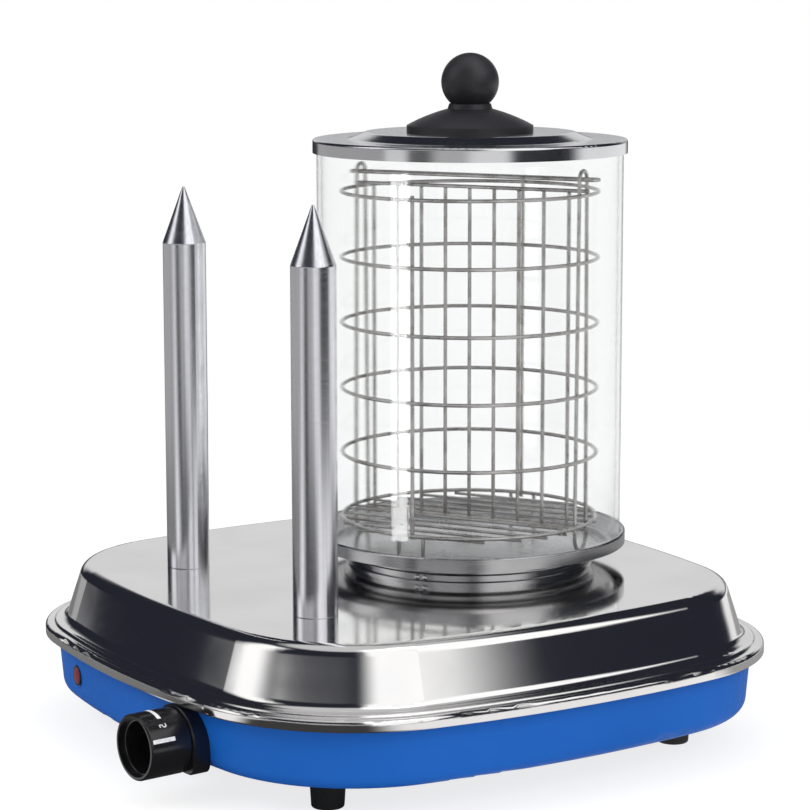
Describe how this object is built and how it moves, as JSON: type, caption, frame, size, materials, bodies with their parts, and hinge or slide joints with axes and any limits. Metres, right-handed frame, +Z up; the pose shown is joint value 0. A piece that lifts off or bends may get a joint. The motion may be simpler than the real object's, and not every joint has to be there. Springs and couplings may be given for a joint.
{
  "type": "hot dog toaster",
  "caption": "Countertop sausage steamer and bun warmer: glass cylinder with lid and wire basket over a heated bowl, and pointed heated spikes on a rounded square base.",
  "frame": {"origin": "centre of the whole object's box in X and Y, on the surface the feet stand on", "axes": "+Z up, -Y to the front with the control knob, +X to the right when facing the front"},
  "size_m": [0.336, 0.3576, 0.3525],
  "materials": {
    "blue_enamel": "smooth gloss powder coat",
    "galvanised": "galvanised sheet",
    "zinc": "zinc plated",
    "polished_steel": "mirror polished stainless",
    "foot_rubber": "matte",
    "satin_aluminium": "satin turned",
    "heater_steel": "dull sheathed",
    "bowl_steel": "spun, fine concentric brushing",
    "cast_aluminium": "cast, machined top",
    "ceramic_white": "moulded, matte",
    "clear_glass": "clear, fire polished edges",
    "lid_steel": "spun, satin",
    "black_bakelite": "moulded, soft gloss",
    "bright_wire": "bright drawn and plated wire",
    "black_plastic": "moulded, fine texture",
    "copper": "drawn copper",
    "red_lens": "dark translucent red",
    "wire_sleeve": "glass fibre sleeve"
  },
  "bodies": {
    "base": {"housing": "blue_enamel", "bottom_cover": "galvanised", "cover_screws": "zinc", "deck": "polished_steel", "feet": "foot_rubber", "frame_screws": "zinc", "spacer_tubes": "zinc", "weld_nuts": "zinc", "spike_left": "satin_aluminium", "spike_right": "satin_aluminium", "spike_heater_left": "heater_steel", "spike_heater_right": "heater_steel", "spike_washers": "zinc", "spike_nuts": "zinc", "steam_bowl": "bowl_steel", "bowl_collar": "bowl_steel", "collar_studs": "polished_steel", "heating_plate": "cast_aluminium", "heating_element": "heater_steel", "element_clamp": "galvanised", "clamp_bolts": "zinc", "clamp_nuts": "zinc", "thermal_cutout": "ceramic_white", "knob_bezel": "black_plastic", "thermostat": "ceramic_white", "thermostat_nut": "zinc", "thermostat_sensor": "copper", "lamp_holder": "black_plastic", "lamp_lens": "red_lens", "lamp_nut": "black_plastic", "terminal_block": "ceramic_white", "terminal_screws": "zinc", "cable_bush": "black_plastic", "wiring": "wire_sleeve"},
    "knob": {"control_knob": "black_plastic", "thermostat_shaft": "galvanised"},
    "cylinder": {"glass_cylinder": "clear_glass"},
    "lid": {"lid": "lid_steel", "lid_knob": "black_bakelite", "lid_washer": "zinc", "lid_screw": "zinc"},
    "basket": {"basket_rings": "bright_wire", "basket_base_ring": "bright_wire", "basket_grate": "bright_wire", "divider_uprights": "bright_wire", "divider_rails": "bright_wire", "basket_end_posts": "bright_wire", "basket_side_posts": "bright_wire", "basket_side_feet": "bright_wire", "basket_handle": "bright_wire"}
  },
  "joints": [
    {"name": "knob_turn", "type": "hinge", "parent": "base", "child": "knob", "pos_m": [0.05848, -0.15518, 0.0289], "axis": [0.0973, -0.9953, 0], "range_deg": [-65, 205]},
    {"name": "cylinder_lift", "type": "slide", "parent": "base", "child": "cylinder", "axis": [0, 0, 1], "range_m": [0, 0.24]},
    {"name": "lid_lift", "type": "slide", "parent": "cylinder", "child": "lid", "axis": [0, 0, 1], "range_m": [0, 0.24]},
    {"name": "basket_lift", "type": "slide", "parent": "base", "child": "basket", "axis": [0, 0, 1], "range_m": [0, 0.216]}
  ],
  "couplings": [
    {"joint": "basket_lift", "follows": "lid_lift", "ratio": 0.9}
  ]
}
